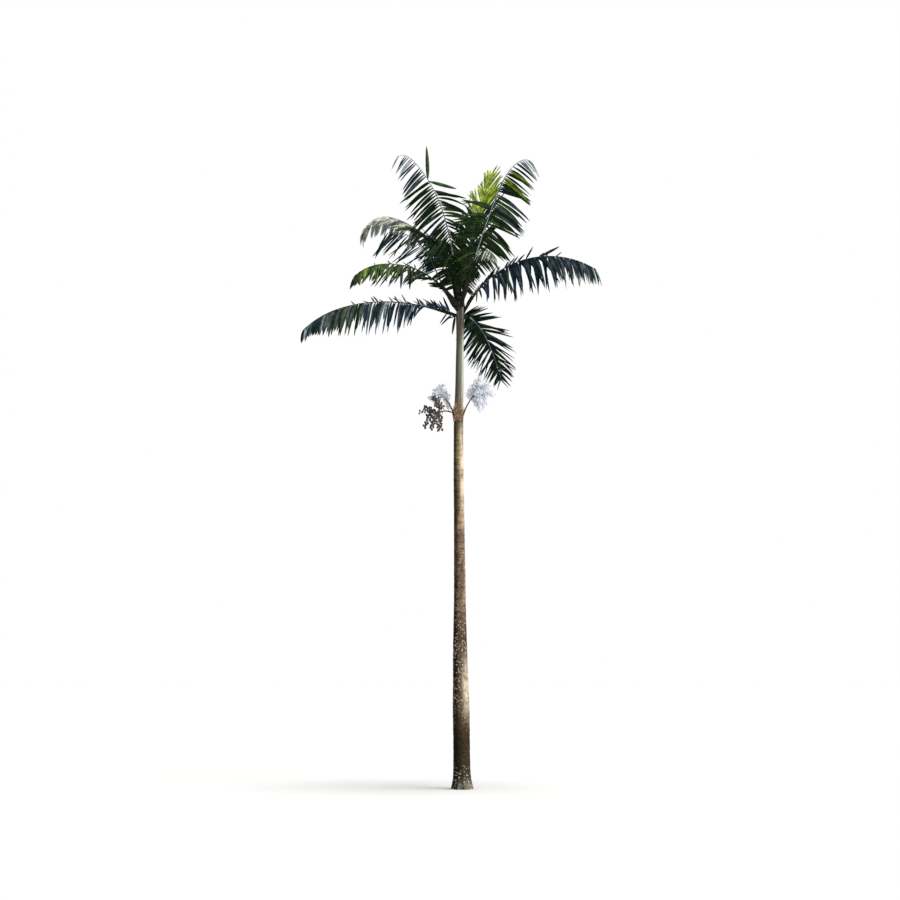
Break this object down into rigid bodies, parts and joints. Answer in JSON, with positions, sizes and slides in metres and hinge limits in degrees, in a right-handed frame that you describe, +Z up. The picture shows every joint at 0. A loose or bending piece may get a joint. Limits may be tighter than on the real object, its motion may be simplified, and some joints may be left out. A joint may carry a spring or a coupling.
{
  "type": "montgomery palm",
  "caption": "Tall slender feather palm: ringed trunk flaring at the foot, smooth green crownshaft, arching fronds, an unopened spear leaf, a fruit cluster and pale flower panicles.",
  "frame": {"origin": "middle of the flat cut under the trunk, at ground level", "axes": "+Z up along the trunk, +X to the right and -Y toward the viewer of the picture"},
  "size_m": [4.6922, 2.9589, 9.8929],
  "materials": {
    "bark": "dull grey-brown bark with fine rings and pale lichen",
    "sheath": "smooth satin grey-green leaf sheath",
    "leaf": "glossy dark green leaf",
    "young_leaf": "satin yellow-green leaf",
    "fruit": "dull dark olive-brown fruit on brown stalks",
    "blossom": "matt pale cream and lilac-grey flower twigs"
  },
  "bodies": {
    "root": {"trunk": "bark", "crownshaft": "sheath", "spear_leaf": "young_leaf", "fruit_cluster": "fruit", "flower_panicle_left": "blossom", "flower_panicle_right": "blossom", "frond_1": "leaf", "frond_2": "leaf", "frond_3": "leaf", "frond_3_end": "leaf", "frond_4": "leaf", "frond_4_end": "leaf", "frond_5": "leaf", "frond_6": "leaf", "frond_6_end": "leaf", "frond_7": "leaf", "frond_7_end": "leaf", "frond_8": "young_leaf", "frond_9": "leaf", "frond_9_end": "leaf", "frond_10": "leaf", "frond_10_end": "leaf", "frond_11": "leaf", "frond_11_end": "leaf"}
  },
  "joints": []
}
